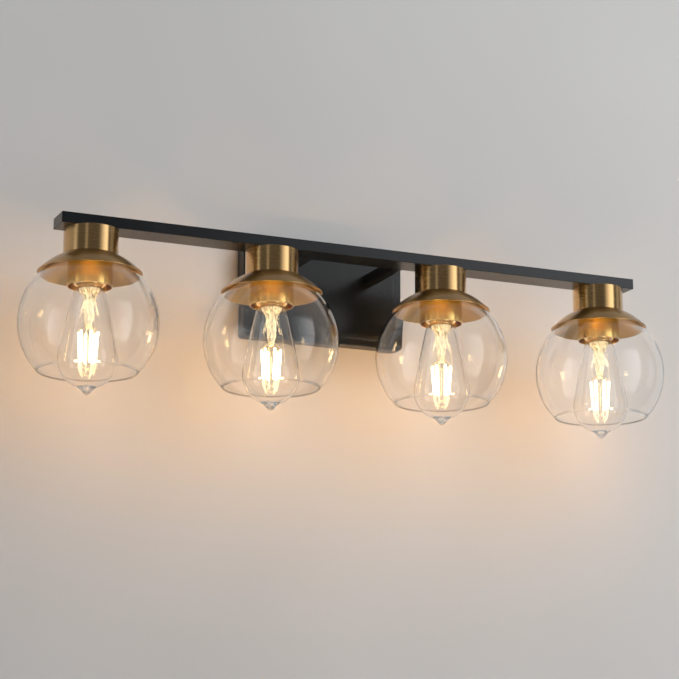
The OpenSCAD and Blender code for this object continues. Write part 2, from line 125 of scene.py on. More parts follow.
class Nodes:
    """Short way to add nodes and links to one node tree."""

    def __init__(self, tree):
        self.tree = tree

    def add(self, kind, **props):
        node = self.tree.nodes.new(kind)
        for key, value in props.items():
            setattr(node, key, value)
        return node

    def link(self, source, target):
        self.tree.links.new(source, target)

    def feed(self, socket, value):
        """Links a socket to another, or sets its plain value."""
        if isinstance(value, bpy.types.NodeSocket):
            self.link(value, socket)
        else:
            socket.default_value = value

    def shader(self, **values):
        """Principled shader with values on the named sockets."""
        node = self.add("ShaderNodeBsdfPrincipled")
        for key, value in values.items():
            self.feed(node.inputs[key.replace("_", " ")], value)
        return node

    def object_point(self):
        return self.add("ShaderNodeTexCoord").outputs["Object"]

    def split(self, vector):
        """The X, Y and Z of a vector."""
        node = self.add("ShaderNodeSeparateXYZ")
        self.link(vector, node.inputs[0])
        return node.outputs

    def math(self, operation, *values):
        node = self.add("ShaderNodeMath", operation=operation)
        for socket, value in zip(node.inputs, values):
            self.feed(socket, value)
        return node.outputs[0]

    def noise(self, vector, scale, detail=2.0, roughness=0.5, distortion=0.0):
        node = self.add("ShaderNodeTexNoise")
        self.link(vector, node.inputs["Vector"])
        node.inputs["Scale"].default_value = scale
        node.inputs["Detail"].default_value = detail
        node.inputs["Roughness"].default_value = roughness
        node.inputs["Distortion"].default_value = distortion
        return node.outputs["Fac"]

    def remap(self, value, to_low, to_high, low=0.3, high=0.7, interpolation="LINEAR"):
        """Maps low..high to to_low..to_high. The defaults are the usual range of a noise."""
        node = self.add("ShaderNodeMapRange", interpolation_type=interpolation)
        for socket, number in zip(node.inputs, (value, low, high, to_low, to_high)):
            self.feed(socket, number)
        return node.outputs["Result"]

    def blend(self, factor, first, second):
        """Mixes two colours."""
        node = self.add("ShaderNodeMix", data_type="RGBA")
        self.feed(node.inputs["Factor"], factor)
        self.feed(node.inputs[6], first)
        self.feed(node.inputs[7], second)
        return node.outputs[2]

    def bump(self, height, strength, distance, normal=None):
        node = self.add("ShaderNodeBump")
        node.inputs["Strength"].default_value = strength
        node.inputs["Distance"].default_value = distance
        self.link(height, node.inputs["Height"])
        if normal is not None:
            self.link(normal, node.inputs["Normal"])
        return node.outputs["Normal"]

    def mix_shader(self, factor, first, second):
        node = self.add("ShaderNodeMixShader")
        self.feed(node.inputs[0], factor)
        self.link(first, node.inputs[1])
        self.link(second, node.inputs[2])
        return node.outputs[0]


class Material(Nodes):
    """Node tree of a new material."""

    def __init__(self, name):
        self.material = bpy.data.materials.new(name)
        self.material.use_nodes = True
        super().__init__(self.material.node_tree)
        self.tree.nodes.clear()
        self.output = self.add("ShaderNodeOutputMaterial")

    def finish(self, shader):
        self.link(shader, self.output.inputs["Surface"])
        return self.material


def colour(r, g, b):
    return (r, g, b, 1.0)


def shaded(base, factor, lift=0.0):
    """The same colour, darker or lighter."""
    return colour(*(min(1.0, c * factor + lift) for c in base[:3]))


def lathe_point(n):
    """Coordinates for a part turned on a lathe: fine along the profile, slow around the axis."""
    around = 0.00035
    x, y, z = n.split(n.object_point())
    radius = n.math("SQRT", n.math("ADD", n.math("MULTIPLY", x, x), n.math("MULTIPLY", y, y)))
    join = n.add("ShaderNodeCombineXYZ")
    n.link(radius, join.inputs[0])
    n.link(n.math("MULTIPLY", n.math("ARCTAN2", y, x), around), join.inputs[1])
    n.link(z, join.inputs[2])
    return join.outputs[0]


# ---------------------------------------------------------------- materials


def brushed_brass(name, base, deep, rough):
    """Satin brass under thin lacquer, with fine turned lines round it and a slightly uneven tone."""
    n = Material(name)
    lines = n.noise(lathe_point(n), scale=7000, detail=2, roughness=0.6)
    cloud = n.noise(n.object_point(), scale=26, detail=3, roughness=0.55)
    tone = n.math("ADD", n.math("MULTIPLY", lines, 0.35), n.math("MULTIPLY", cloud, 0.65))
    metal = n.shader(Metallic=1.0, Anisotropic=0.8, Anisotropic_Rotation=0.25,
                     Coat_Weight=0.5, Coat_Roughness=0.15)
    n.link(n.blend(n.remap(tone, 0.0, 1.0), deep, base), metal.inputs["Base Color"])
    fine = n.remap(lines, rough - 0.03, rough + 0.04)
    broad = n.remap(cloud, -0.015, 0.02)
    n.link(n.math("ADD", fine, broad), metal.inputs["Roughness"])
    n.link(n.bump(lines, strength=0.03, distance=0.00003), metal.inputs["Normal"])
    tangent = n.add("ShaderNodeTangent", direction_type="RADIAL", axis="Z")
    n.link(tangent.outputs[0], metal.inputs["Tangent"])
    return n.finish(metal.outputs[0])


def powder_coat(name, base):
    """Fine satin powder coat: a soft orange-peel grain and faint handling marks."""
    n = Material(name)
    point = n.object_point()
    grain = n.noise(point, scale=1500, detail=2, roughness=0.55)
    peel = n.noise(point, scale=320, detail=2)
    marks = n.noise(point, scale=17, detail=5, roughness=0.65)
    paint = n.shader(IOR=1.43)
    lighter = shaded(base, 1.3, lift=0.001)
    n.link(n.blend(n.remap(marks, 0.0, 1.0, low=0.35), base, lighter), paint.inputs["Base Color"])
    rough = n.math("ADD", n.remap(marks, 0.20, 0.26), n.remap(grain, -0.02, 0.03))
    n.link(rough, paint.inputs["Roughness"])
    coarse = n.bump(peel, strength=0.10, distance=0.00012)
    n.link(n.bump(grain, strength=0.16, distance=0.00005, normal=coarse), paint.inputs["Normal"])
    return n.finish(paint.outputs[0])


def plated_steel(name, base, rough):
    """Bright or plated metal with slightly darker patches and a fine grain."""
    n = Material(name)
    point = n.object_point()
    fine = n.noise(point, scale=900, detail=3, roughness=0.7)
    patches = n.noise(point, scale=60, detail=4, roughness=0.6)
    metal = n.shader(Metallic=1.0)
    tone = n.remap(patches, 0.0, 1.0, low=0.35, high=0.65)
    n.link(n.blend(tone, shaded(base, 0.8), base), metal.inputs["Base Color"])
    n.link(n.remap(fine, rough - 0.06, rough + 0.08), metal.inputs["Roughness"])
    n.link(n.bump(fine, strength=0.08, distance=0.00005), metal.inputs["Normal"])
    return n.finish(metal.outputs[0])


def moulded(name, base, rough, scale, depth):
    """Porcelain, plastic, rubber or vitrite: a body colour with slight mottling and grain."""
    n = Material(name)
    point = n.object_point()
    mottle = n.noise(point, scale=45, detail=4)
    grain = n.noise(point, scale, detail=2)
    body = n.shader()
    tone = n.remap(mottle, 0.0, 1.0, low=0.35, high=0.65)
    n.link(n.blend(tone, shaded(base, 0.86), base), body.inputs["Base Color"])
    n.link(n.remap(grain, rough - 0.04, rough + 0.05), body.inputs["Roughness"])
    n.link(n.bump(grain, strength=0.15, distance=depth), body.inputs["Normal"])
    return n.finish(body.outputs[0])


def clear_glass(name, tint, scale, depth, edge_z, edge_height, edge_clear):
    """Clear blown glass with faint ripples, clearer in a band above its lower edge.

    Lamps shine through it without a hard shadow.
    """
    n = Material(name)
    point = n.object_point()
    ripple = n.noise(point, scale, detail=1, distortion=0.4)
    glass = n.shader(Base_Color=tint, Roughness=0.0, IOR=1.43, Transmission_Weight=1.0)
    n.link(n.bump(ripple, strength=0.25, distance=depth), glass.inputs["Normal"])
    passing = n.add("ShaderNodeBsdfTransparent")
    passing.inputs["Color"].default_value = tint
    height = n.split(point)[2]
    edge = n.remap(height, edge_clear, 0.0, low=edge_z, high=edge_z + edge_height)
    path = n.add("ShaderNodeLightPath")
    lamp = n.math("MAXIMUM", path.outputs["Is Shadow Ray"], path.outputs["Is Diffuse Ray"])
    clear = n.math("MAXIMUM", lamp, edge)
    return n.finish(n.mix_shader(clear, glass.outputs[0], passing.outputs[0]))


def painted_glow_glass(name, tint, milk_and_glow, depth):
    """Pressed glass of a bulb's stem: drawn out, with milky streaks that carry a painted glow, standing
    in for the light of the filaments.
    """
    n = Material(name)
    stretch = n.add("ShaderNodeVectorMath", operation="MULTIPLY")
    n.link(n.object_point(), stretch.inputs[0])
    stretch.inputs[1].default_value = (1.0, 1.0, 0.22)
    streaks = n.noise(stretch.outputs[0], scale=420, detail=2, distortion=0.6)
    glass = n.shader(Base_Color=tint, Roughness=0.04, IOR=1.5, Transmission_Weight=1.0)
    n.link(n.bump(streaks, strength=0.5, distance=depth), glass.inputs["Normal"])
    body = n.shader(Base_Color=milk_and_glow, Roughness=0.5)
    # Painted glow: the milky streaks emit light of their own, in place of being lit by the filaments.
    body.inputs["Emission Color"].default_value = milk_and_glow
    n.link(n.remap(streaks, 0.35, 1.5, low=0.35), body.inputs["Emission Strength"])
    milky = n.remap(streaks, 0.12, 0.5, low=0.35, high=0.65)
    return n.finish(n.mix_shader(milky, glass.outputs[0], body.outputs[0]))


def glowing(name, base, glow, strength):
    """Phosphor of a lit filament, slightly mottled."""
    n = Material(name)
    grain = n.noise(n.object_point(), scale=700, detail=2)
    body = n.shader(Base_Color=base, Roughness=0.6)
    body.inputs["Emission Color"].default_value = glow
    n.link(n.remap(grain, strength * 0.85, strength * 1.15), body.inputs["Emission Strength"])
    return n.finish(body.outputs[0])


def painted_wall(name, base, light):
    """Pale painted plaster that is see-through from behind, so the back view stays open."""
    n = Material(name)
    point = n.object_point()
    roller = n.noise(point, scale=260, detail=4, roughness=0.6)
    cloud = n.noise(point, scale=2.2, detail=2)
    paint = n.shader(Roughness=0.85)
    n.link(n.blend(n.remap(cloud, 0.0, 1.0), base, light), paint.inputs["Base Color"])
    n.link(n.bump(roller, strength=0.06, distance=0.0003), paint.inputs["Normal"])
    clear = n.add("ShaderNodeBsdfTransparent")
    back = n.add("ShaderNodeNewGeometry").outputs["Backfacing"]
    return n.finish(n.mix_shader(back, paint.outputs[0], clear.outputs[0]))


BRASS = brushed_brass("brushed_brass", colour(0.71, 0.46, 0.20), colour(0.62, 0.37, 0.14), rough=0.24)
# A darker copy of the cup's brass for the dishes: painted shade.
DISH_BRASS_PAINTED_SHADE = brushed_brass("brushed_brass_dish_painted_shade", colour(0.55, 0.32, 0.10), colour(0.45, 0.25, 0.07),
                           rough=0.32)
# A lighter, more orange copy of the brass for the sleeves: painted warm light from the bulbs just below.
SLEEVE_BRASS_PAINTED_LIGHT = brushed_brass("brushed_brass_sleeve_painted_light", colour(0.80, 0.53, 0.16),
                             colour(0.70, 0.44, 0.12), rough=0.22)
BLACK = powder_coat("black_powder_coat", colour(0.0062, 0.0072, 0.0080))
ZINC = plated_steel("zinc_steel", colour(0.62, 0.63, 0.64), rough=0.32)
BRIGHT_BRASS = plated_steel("contact_brass", colour(0.78, 0.56, 0.24), rough=0.2)
CAP_METAL = plated_steel("screw_shell_metal", colour(0.82, 0.62, 0.32), rough=0.2)
SHELL_METAL = plated_steel("screw_shell_inside", colour(0.78, 0.72, 0.6), rough=0.22)
GREEN = plated_steel("green_screw", colour(0.02, 0.26, 0.06), rough=0.35)
PORCELAIN = moulded("porcelain", colour(0.72, 0.66, 0.55), rough=0.25, scale=300, depth=0.00004)
ORANGE = moulded("orange_plastic", colour(0.75, 0.27, 0.03), rough=0.45, scale=900, depth=0.00005)
JACKET = moulded("wire_jacket", colour(0.02, 0.02, 0.02), rough=0.5, scale=900, depth=0.00004)
SILICONE = moulded("silicone", colour(0.035, 0.035, 0.035), rough=0.55, scale=700, depth=0.00005)
VITRITE = moulded("bulb_insulator", colour(0.012, 0.012, 0.02), rough=0.15, scale=400, depth=0.00003)
# The stem glass carries a painted glow in its milky streaks.
STEM_GLASS = painted_glow_glass("stem_glass", colour(1.0, 0.97, 0.88), colour(0.97, 0.84, 0.56), depth=0.0004)
PHOSPHOR = glowing("filament", colour(1.0, 0.78, 0.4), colour(1.0, 0.78, 0.44), strength=14.0)
LEAD_WIRE = plated_steel("lead_wire", colour(0.75, 0.66, 0.5), rough=0.25)
GLOBE_GLASS = clear_glass("clear_globe_glass", colour(0.99, 0.995, 0.995), scale=18, depth=0.00006,
                          edge_z=MOUTH_Z, edge_height=3 * MM, edge_clear=0.8)
BULB_GLASS = clear_glass("bulb_glass", colour(1.0, 0.995, 0.985), scale=30, depth=0.00002,
                         edge_z=TIP_Z, edge_height=9 * MM, edge_clear=0.75)


# ---------------------------------------------------------------- mesh helpers


def piece(name, mesh, material, body, replaced=(), place=None):
    """Puts a finished mesh in the scene, with its material, its body and what it stands for."""
    obj = bpy.data.objects.new(name, mesh)
    bpy.context.collection.objects.link(obj)
    mesh.materials.append(material)
    if place is not None:
        obj.location = place
    for face in mesh.polygons:
        face.use_smooth = True
    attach(obj, body)
    if replaced:
        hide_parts(*replaced)
    return obj


def sharpen(obj, angle=35):
    """Smooth shading that keeps flat faces flat and edges over the angle sharp."""
    modifier = obj.modifiers.new("weighted", "WEIGHTED_NORMAL")
    modifier.keep_sharp = True
    modifier.weight = 100
    obj.data.set_sharp_from_angle(angle=math.radians(angle))


def mesh_of(name, bm):
    """Turns a bmesh into a mesh, with the directions of its faces made to agree."""
    bmesh.ops.recalc_face_normals(bm, faces=bm.faces)
    mesh = bpy.data.meshes.new(name)
    bm.to_mesh(mesh)
    bm.free()
    return mesh


def arc(centre_r, centre_z, radius, start, end, steps):
    """Points on an arc in the plane of a profile. Angles are in degrees from +r towards +z."""
    points = []
    for k in range(steps + 1):
        a = math.radians(start + (end - start) * k / steps)
        points.append((centre_r + radius * math.cos(a), centre_z + radius * math.sin(a)))
    return points


def curve(first, pull, last, t):
    """Point on a quadratic curve that leaves first and reaches last, pulled towards a third point."""
    return tuple(first * (1 - t) ** 2 + pull * 2 * t * (1 - t) + last * t * t)


def eased(points, radius, closed=True, steps=4):
    """Rounds the corners of a profile, as a real edge is never knife sharp."""
    nearly_straight = 2.7
    reach_share = 0.45
    out = []
    count = len(points)
    for k, corner in enumerate(points):
        if not closed and k in (0, count - 1):
            out.append(corner)
            continue
        here = Vector(corner)
        before, after = Vector(points[k - 1]), Vector(points[(k + 1) % count])
        to_before, to_after = before - here, after - here
        doubled = to_before.length < 1e-9 or to_after.length < 1e-9
        if doubled or to_before.angle(to_after) > nearly_straight:
            out.append(corner)
            continue
        reach = min(radius, to_before.length * reach_share, to_after.length * reach_share)
        first = here + to_before.normalized() * reach
        last = here + to_after.normalized() * reach
        out += [curve(first, here, last, s / steps) for s in range(steps + 1)]
    return out


def circle(radius, count):
    """X and Y of points round the Z axis."""
    turns = [TURN * s / count for s in range(count)]
    return [(radius * math.cos(a), radius * math.sin(a)) for a in turns]


def skin(bm, low, high):
    """Joins two rings of vertices by faces. A ring of one vertex is a point."""
    count = max(len(low), len(high))
    for s in range(count):
        t = (s + 1) % count
        corners = [low[s % len(low)], low[t % len(low)], high[t % len(high)], high[s % len(high)]]
        unique = list(dict.fromkeys(corners))
        if len(unique) > 2:
            bm.faces.new(unique)


def lathe(name, profile, closed=True, segments=160):
    """Turns a profile of (radius, height) points round the Z axis. Points on the axis close it."""
    axis_r = 1e-7
    bm = bmesh.new()
    rings = []
    for r, z in profile:
        if r < axis_r:
            rings.append([bm.verts.new((0, 0, z))])
        else:
            rings.append([bm.verts.new((x, y, z)) for x, y in circle(r, segments)])
    pairs = list(zip(rings, rings[1:]))
    if closed and len(rings[0]) > 1 and len(rings[-1]) > 1:
        pairs.append((rings[-1], rings[0]))
    for low, high in pairs:
        skin(bm, low, high)
    return mesh_of(name, bm)


def rounded_rectangle(width, height, corner, steps=8):
    """Points round a rectangle with round corners, counter-clockwise from the right-hand side."""
    corner = max(corner, 0.2 * MM)
    points = []
    for side_x, side_y, start in ((1, 1, 0), (-1, 1, 90), (-1, -1, 180), (1, -1, 270)):
        points += arc(side_x * (width / 2 - corner), side_y * (height / 2 - corner), corner,
                      start, start + 90, steps)
    return points


def lofted(name, rings):
    """Skins a row of rings of points and closes its two ends by flat faces."""
    bm = bmesh.new()
    loops = [[bm.verts.new(point) for point in ring] for ring in rings]
    for low, high in zip(loops, loops[1:]):
        skin(bm, low, high)
    bm.faces.new(loops[0])
    bm.faces.new(loops[-1])
    return mesh_of(name, bm)


def bevelled_box(name, low, high, bevel):
    """Box between two corners, with rounded edges."""
    bm = bmesh.new()
    bmesh.ops.create_cube(bm, size=1.0)
    for v in bm.verts:
        v.co = Vector([(low[k] + high[k]) / 2 + v.co[k] * (high[k] - low[k]) for k in range(3)])
    bmesh.ops.bevel(bm, geom=list(bm.edges), offset=bevel, segments=3, profile=0.5, affect="EDGES")
    return mesh_of(name, bm)


def tube(bm, path, radius, sides=10):
    """Adds a round section swept along a list of points, with blunt ends, to a bmesh."""
    bulge = 0.6
    rings = []
    for k, point in enumerate(path):
        ahead = path[min(k + 1, len(path) - 1)] - path[max(k - 1, 0)]
        turn = ahead.to_track_quat("Z", "Y")
        rings.append([bm.verts.new(point + turn @ Vector((x, y, 0))) for x, y in circle(radius, sides)])
    for low, high in zip(rings, rings[1:]):
        skin(bm, low, high)
    for ring, outward in ((rings[0], path[0] - path[1]), (rings[-1], path[-1] - path[-2])):
        middle = sum((v.co for v in ring), Vector()) / sides
        tip = bm.verts.new(middle + outward.normalized() * radius * bulge)
        skin(bm, ring, [tip])


# ---------------------------------------------------------------- bar, arms and wall plate


def make_bar():
    """Folded channel that is open at the top, and the lid that closes it."""
    low, high = [Vector(c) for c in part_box("bar")]
    cover_low, cover_high = [Vector(c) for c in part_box("bar_cover")]
    wall = (high.x - low.x - cover_high.x + cover_low.x) / 2
    bend, corner, cut = 0.7 * MM, 0.8 * MM, 0.3 * MM
    section = [(bend, low.z)]
    for a in (30, 60, 90):
        bent = math.radians(a)
        section.append((bend - bend * math.sin(bent), low.z + bend - bend * math.cos(bent)))
    section += [(0.0, high.z - cut), (cut, high.z), (wall, high.z), (wall, cover_low.z - 0.5 * MM)]
    rings = []
    for inset, z in section:
        ring = rounded_rectangle(high.x - low.x - 2 * inset, high.y - low.y - 2 * inset,
                                 max(corner - inset, cut), steps=4)
        rings.append([(BAR_CENTRE.x + x, BAR_CENTRE.y + y, z) for x, y in ring])
    channel = lofted("bar_channel", rings)
    sharpen(piece("bar_channel", channel, BLACK, "fixture", ["bar"]))
    lid = bevelled_box("bar_lid", cover_low, cover_high, cut)
    sharpen(piece("bar_lid", lid, BLACK, "fixture", ["bar_cover"]))


def make_arms():
    for side in ("left", "right"):
        low, high = [Vector(c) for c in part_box(f"arm_{side}")]
        mesh = bevelled_box(f"arm_tube_{side}", low, high, 0.9 * MM)
        arm = piece(f"arm_tube_{side}", mesh, BLACK, "fixture", [f"arm_{side}"])
        sharpen(arm)


def plate_shell(name, width, height, outline):
    """Closed shell of the wall plate's size. outline lists (inset, y) from end to end."""
    corner = 6 * MM
    rings = []
    for inset, y in outline:
        ring = rounded_rectangle(width - 2 * inset, height - 2 * inset, corner - inset)
        rings.append([(PLATE_CENTRE.x + x, y, PLATE_CENTRE.z + z) for x, z in ring])
    return lofted(name, rings)


def open_at(mesh, y):
    """Takes away the big flat face at a given Y, so a shell is open there."""
    bm = bmesh.new()
    bm.from_mesh(mesh)
    wide = [f for f in bm.faces if len(f.verts) > 8 and abs(f.calc_center_median().y - y) < 1e-5]
    bmesh.ops.delete(bm, geom=wide, context="FACES_ONLY")
    bm.to_mesh(mesh)
    bm.free()


def make_wall_plate():
    """Pan with a border and a raised panel, hollow at the back."""
    low, high = [Vector(c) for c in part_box("wall_plate")]
    border, wall, raise_by, edge, cut = 8.5 * MM, 1.5 * MM, 2.5 * MM, 1.2 * MM, 0.3 * MM
    front, back = low.y, high.y
    shelf = front + raise_by
    panel = border - edge
    outline = [(cut, back), (0.0, back - cut)]
    for a in (0, 22, 45, 68, 90):
        bent = math.radians(a)
        outline.append((edge * (1 - math.cos(bent)), shelf + edge * (1 - math.sin(bent))))
    outline += [
        (panel - 0.4 * MM, shelf), (panel, shelf - cut),
        (panel + 0.3 * MM, front + 1.3 * MM), (panel + 0.9 * MM, front + 0.4 * MM),
        (panel + 2.0 * MM, front), (panel + 6 * MM, front),
    ]
    inner = [
        (panel + 6 * MM, front + wall), (panel + wall, front + wall),
        (panel + wall, shelf + wall), (wall, shelf + wall), (wall, back),
    ]
    width, height = high.x - low.x, high.z - low.z
    outer_mesh = plate_shell("plate_front", width, height, outline)
    plate = piece("plate_front", outer_mesh, BLACK, "fixture", ["wall_plate"])
    sharpen(plate, 50)
    inner_mesh = plate_shell("plate_inside", width, height, inner)
    open_at(inner_mesh, back)
    open_at(outer_mesh, back)
    sharpen(piece("plate_inside", inner_mesh, BLACK, "fixture"), 50)


# ---------------------------------------------------------------- metal and porcelain of one light


def make_cup(i):
    """Cup under the bar, open at the bottom."""
    inside_r = CUP_R - BRASS_WALL
    inside_top = -2 * MM
    profile = [(NIPPLE_HOLE_R, 0.0), (CUP_R, 0.0), (CUP_R, CUP_BOTTOM), (inside_r, CUP_BOTTOM),
               (inside_r, inside_top), (NIPPLE_HOLE_R, inside_top)]
    mesh = lathe(f"cup_turned_{i}", eased(profile, 0.5 * MM))
    cup = piece(f"cup_turned_{i}", mesh, BRASS, "fixture", [f"cup_{i}"], light_origin(i))
    sharpen(cup, 40)


def dish_sphere():
    """Centre height and radius of the dish's outer face, through the cup's edge and the rim."""
    centre = (DISH_RIM**2 + DISH_R**2 - CUP_BOTTOM**2 - CUP_R**2) / (2 * (DISH_RIM - CUP_BOTTOM))
    return centre, math.hypot(DISH_R, DISH_RIM - centre)


def make_dish(i):
    """Spun dish: a part of a sphere with a rounded, slightly thickened rim."""
    steps = 34
    centre, radius = dish_sphere()
    rim = math.degrees(math.asin((DISH_RIM - centre) / radius))
    hole = math.degrees(math.acos(DISH_HOLE_R / radius))
    upper = arc(0, centre, radius, hole, rim + 0.9, steps)
    bead = [(DISH_R + 0.15 * MM, DISH_RIM + 0.8 * MM), (DISH_R + 0.1 * MM, DISH_RIM + 0.2 * MM),
            (DISH_R - 0.7 * MM, DISH_RIM), (DISH_R - 1.6 * MM, DISH_RIM + 0.35 * MM)]
    under = arc(0, centre, radius - BRASS_WALL, rim + 1.6, hole, steps)
    mesh = lathe(f"dish_spun_{i}", upper + bead + under)
    dish = piece(f"dish_spun_{i}", mesh, DISH_BRASS_PAINTED_SHADE, "fixture", [f"dish_{i}"],
                 light_origin(i))
    sharpen(dish, 50)


def make_sleeve(i):
    """Sleeve with an inward ring at its top, which screws onto the lamp holder."""
    inside_r = SLEEVE_R - BRASS_WALL
    ring_r = 20.3 * MM
    ring_bottom = SLEEVE_TOP - 6 * MM
    profile = [(ring_r, SLEEVE_TOP), (SLEEVE_R, SLEEVE_TOP), (SLEEVE_R, SLEEVE_BOTTOM + 0.9 * MM),
               (SLEEVE_R, SLEEVE_BOTTOM), (inside_r, SLEEVE_BOTTOM),
               (inside_r, ring_bottom), (ring_r, ring_bottom)]
    mesh = lathe(f"sleeve_turned_{i}", eased(profile, 0.45 * MM))
    sleeve = piece(f"sleeve_turned_{i}", mesh, SLEEVE_BRASS_PAINTED_LIGHT, f"ring_{i}", [f"sleeve_{i}"],
                   light_origin(i))
    sharpen(sleeve, 40)


def make_holder(i):
    """Porcelain lamp holder with a threaded collar and a stepped nose."""
    head_r, collar_r, root_r, nose_r, bore_r = 16 * MM, 20 * MM, 19.2 * MM, 17.5 * MM, 14 * MM
    thread_top, pitch, turns = -31 * MM, 1.7 * MM, 7
    profile = [(NIPPLE_HOLE_R, -20 * MM), (head_r, -20 * MM), (head_r, -27 * MM), (collar_r, -27 * MM)]
    for k in range(turns):
        z = thread_top - k * pitch
        profile += [(collar_r, z), (root_r, z - 0.85 * MM)]
    profile += [
        (nose_r, -43 * MM), (nose_r, HOLDER_BOTTOM + 1.5 * MM), (16.6 * MM, HOLDER_BOTTOM),
        (14.9 * MM, HOLDER_BOTTOM), (bore_r, HOLDER_BOTTOM + 1.2 * MM), (bore_r, -36 * MM),
        (NIPPLE_HOLE_R, -36 * MM),
    ]
    mesh = lathe(f"holder_body_{i}", eased(profile, 0.35 * MM, steps=2))
    holder = piece(f"holder_body_{i}", mesh, PORCELAIN, "fixture", [f"lamp_holder_{i}"],
                   light_origin(i))
    sharpen(holder, 40)


def make_screw_shells():
    """Metal shells of the four lamp holders, seen from below. Rings stand for their rolled thread."""
    rim_z, row, rows, rows_a_pitch = -57 * MM, 0.5 * MM, 33, 7.26
    mean_r, wave = 13.62 * MM, 0.12 * MM
    profile = [(14.6 * MM, -57.6 * MM), (13.9 * MM, rim_z)]
    for k in range(rows):
        profile.append((mean_r + wave * math.cos(TURN * k / rows_a_pitch), rim_z + k * row))
    for i in LIGHTS:
        mesh = lathe(f"shell_thread_{i}", profile, closed=False)
        shell = piece(f"shell_thread_{i}", mesh, SHELL_METAL, "fixture",
                      ["screw_shells"] if i == 1 else (), light_origin(i))
        sharpen(shell, 60)


# ---------------------------------------------------------------- globe and bulb of one light


def make_shade(i):
    """Blown globe, thinner towards its fire-polished mouth, with a ground hole at the top."""
    steps = 96
    thinning_share = 0.6
    mouth = math.degrees(math.asin((MOUTH_Z - GLOBE_Z + 0.6 * MM) / GLOBE_R))
    top = math.degrees(math.acos(GLOBE_HOLE_R / GLOBE_R))
    outer = arc(0, GLOBE_Z, GLOBE_R, top, mouth, steps)
    lip_r, lip_z = outer[-1]
    lip = [(lip_r - 0.3 * MM, lip_z - 0.4 * MM), (lip_r - 0.7 * MM, lip_z - 0.58 * MM),
           (lip_r - 1.1 * MM, lip_z - 0.45 * MM)]
    inner = []
    for k in range(steps + 1):
        t = k / steps
        angle = math.radians(mouth + 0.2 + (top - mouth - 0.2) * t)
        r = GLOBE_R - (LIP_WALL + (GLOBE_WALL - LIP_WALL) * min(1.0, t / thinning_share))
        inner.append((r * math.cos(angle), GLOBE_Z + r * math.sin(angle)))
    mesh = lathe(f"globe_{i}", outer + lip + inner, segments=192)
    piece(f"globe_{i}", mesh, GLOBE_GLASS, f"glass_{i}", [f"shade_{i}"],
          light_origin(i))


def bulb_side(shrink, end_angle):
    """Side of the bulb: collar, shoulder, a slightly bulging cone that touches the round end."""
    r, neck, collar = BULB_R - shrink, NECK_R - shrink, COLLAR_R - shrink
    cone_bulge = 0.4 * MM
    rise = NECK_Z - BULB_Z
    touch = math.degrees(math.atan2(rise, neck) - math.acos(r / math.hypot(neck, rise)))
    tangent = Vector((r * math.cos(math.radians(touch)), BULB_Z + r * math.sin(math.radians(touch))))
    start = Vector((neck, NECK_Z))
    root = Vector((collar, CAP_BOTTOM - 0.3 * MM))
    cone = start - tangent
    shoulder = start + cone * ((start.y - root.y) / cone.y) * -0.75
    points = [(collar, CAP_BOTTOM + 14 * MM), (collar, CAP_BOTTOM + 5 * MM), tuple(root)]
    points += [curve(root, shoulder, start, k / 8) for k in range(1, 9)]
    for k in range(1, 24):
        t = k / 24
        here = start.lerp(tangent, t)
        points.append((here.x + cone_bulge * math.sin(math.pi * t), here.y))
    return points + arc(0, BULB_Z, r, touch, end_angle, 60)


def make_bulb_glass(i):
    """Envelope as one closed profile of outer face, drawn tip and inner face, so its wall is solid."""
    base_r, tip_r = 9.3 * MM, 3.2 * MM
    outer = bulb_side(0.0, -math.degrees(math.acos((base_r + 1.5 * MM) / BULB_R)))
    leave = Vector(outer[-1])
    corner = Vector((base_r, BULB_Z - math.sqrt(BULB_R**2 - base_r**2)))
    rise = corner.y - TIP_Z - tip_r
    touch = math.degrees(math.atan2(rise, base_r) - math.acos(tip_r / math.hypot(base_r, rise)))
    tip = arc(0, TIP_Z + tip_r, tip_r, touch, -90, 10)
    land = corner.lerp(Vector(tip[0]), 0.3)
    flare = [curve(leave, corner, land, t) for t in (0.2, 0.4, 0.6, 0.8, 1.0)]
    inner = bulb_side(BULB_WALL, -math.degrees(math.acos(6 * MM / (BULB_R - BULB_WALL))))
    dimple = [(3.6 * MM, TIP_Z + 6.3 * MM), (1.8 * MM, TIP_Z + 5.0 * MM), (0.0, TIP_Z + 4.6 * MM)]
    profile = outer + flare + tip[:-1] + [(0.0, TIP_Z)] + (inner + dimple)[::-1]
    mesh = lathe(f"bulb_envelope_{i}", profile)
    piece(f"bulb_envelope_{i}", mesh, BULB_GLASS, f"bulb_{i}", [f"bulb_glass_{i}"],
          light_origin(i))


def make_bulb_cap(i):
    """Screw cap with a rolled right-hand thread that fades out at both ends."""
    pitch = 3.629 * MM
    crest, root = CAP_R - 0.02 * MM, CAP_R - 0.55 * MM
    rows, segments = 84, 96
    top_fade, bottom_fade = 2 * MM, 3.2 * MM
    taper_rows, taper_step = 6, 0.25 * MM
    bm = bmesh.new()
    rings = []
    for k in range(rows + 1):
        z = CAP_TOP + (CAP_BOTTOM - CAP_TOP) * k / rows
        fade = min(1.0, max(0.0, (CAP_TOP - z) / top_fade), max(0.0, (z - CAP_BOTTOM) / bottom_fade))
        plain = (1 - fade) * 0.9 * (k > rows / 2)
        taper = max(0, taper_rows - k) * taper_step
        ring = []
        for s in range(segments):
            a = TURN * s / segments
            wave = 0.5 + 0.5 * math.cos(TURN * (z / pitch) - a)
            r = root + (crest - root) * (wave * fade + plain) - taper
            ring.append(bm.verts.new((r * math.cos(a), r * math.sin(a), z)))
        rings.append(ring)
    for low, high in zip(rings, rings[1:]):
        skin(bm, low, high)
    bm.faces.new(rings[0])
    mesh = mesh_of(f"cap_thread_{i}", bm)
    cap = piece(f"cap_thread_{i}", mesh, CAP_METAL, f"bulb_{i}", [f"bulb_cap_{i}"],
                light_origin(i))
    sharpen(cap, 50)


def on_axis(z):
    """Point or step along a light's axis."""
    return Vector((0, 0, z))


